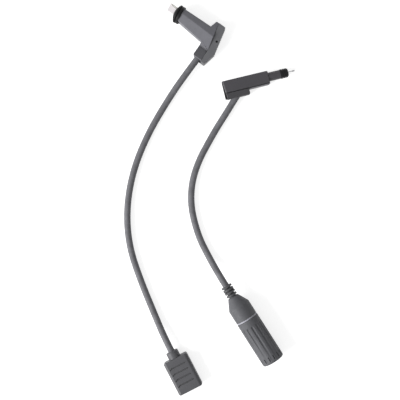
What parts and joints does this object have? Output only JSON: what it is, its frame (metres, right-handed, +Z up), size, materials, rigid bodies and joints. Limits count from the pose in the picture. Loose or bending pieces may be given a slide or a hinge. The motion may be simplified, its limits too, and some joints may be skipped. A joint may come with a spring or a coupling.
{
  "type": "oscilloscope probe lead set",
  "caption": "Two short probe leads: a T-shaped head with a flat contact tongue and socket connector, and a pencil head with a sprung needle and fluted coupling.",
  "frame": {"origin": "on the bench, under the middle of the box around the two leads without their lying cables", "axes": "+X to the right and +Y to the top of the pictured layout, +Z up from the bench"},
  "size_m": [0.1098, 0.2511, 0.0148],
  "materials": {
    "grey_plastic": "satin moulded plastic",
    "dark_plastic": "satin moulded plastic",
    "cable_jacket": "smooth satin jacket",
    "black_rubber": "matte",
    "pale_plastic": "satin",
    "coupling_plastic": "satin fluted",
    "steel": "brushed",
    "nickel": "nickel plated",
    "brass": "gold plated",
    "board": "solder mask",
    "white_insulator": "smooth",
    "pale_ring": "satin",
    "component": "smooth"
  },
  "bodies": {
    "leads": {"angled_head_body": "grey_plastic", "angled_head_cover": "grey_plastic", "cover_screw": "steel", "tip_seal_ring": "black_rubber", "contact_carrier": "pale_plastic", "contact_blade_upper": "steel", "contact_blade_lower": "steel", "angled_head_board": "board", "angled_head_resistor": "component", "angled_head_capacitor": "component", "angled_cable_clamp": "brass", "angled_cable_core": "white_insulator", "angled_cable": "cable_jacket", "socket_housing_upper": "grey_plastic", "socket_housing_lower": "grey_plastic", "socket_collar": "grey_plastic", "socket_metal_shell": "nickel", "socket_tongue": "black_rubber", "socket_contact_1": "brass", "socket_contact_2": "brass", "socket_contact_3": "brass", "socket_contact_4": "brass", "socket_ferrule": "brass", "socket_cable_core": "white_insulator", "head_case_upper": "dark_plastic", "head_case_lower": "dark_plastic", "head_end_cap": "dark_plastic", "head_nose": "dark_plastic", "tip_sleeve": "black_rubber", "needle_barrel": "brass", "needle_spring": "steel", "head_board": "board", "trimmer_capacitor": "component", "head_resistor": "component", "head_cable_ferrule": "brass", "head_cable_core": "white_insulator", "straight_cable": "cable_jacket", "strain_relief": "black_rubber", "connector_backshell": "coupling_plastic", "connector_ring": "pale_ring", "connector_shell": "nickel", "retaining_clip": "steel", "coupling_gasket": "black_rubber", "connector_insulator": "white_insulator", "centre_contact": "brass", "connector_ferrule": "brass", "connector_core": "white_insulator"},
    "coupling": {"coupling_sleeve": "coupling_plastic"},
    "needle": {"probe_needle": "steel"}
  },
  "joints": [
    {"name": "coupling_spin", "type": "hinge", "parent": "leads", "child": "coupling", "pos_m": [0.01115, -0.07636, 0.0074], "axis": [0.5373, -0.8434, 0], "continuous": true},
    {"name": "needle_press", "type": "slide", "parent": "leads", "child": "needle", "axis": [-0.9726, -0.2326, 0], "range_m": [0, 0.0015], "stiffness_N_per_m": 60, "springref_m": -0.0005, "deforming": ["needle_spring"]}
  ]
}
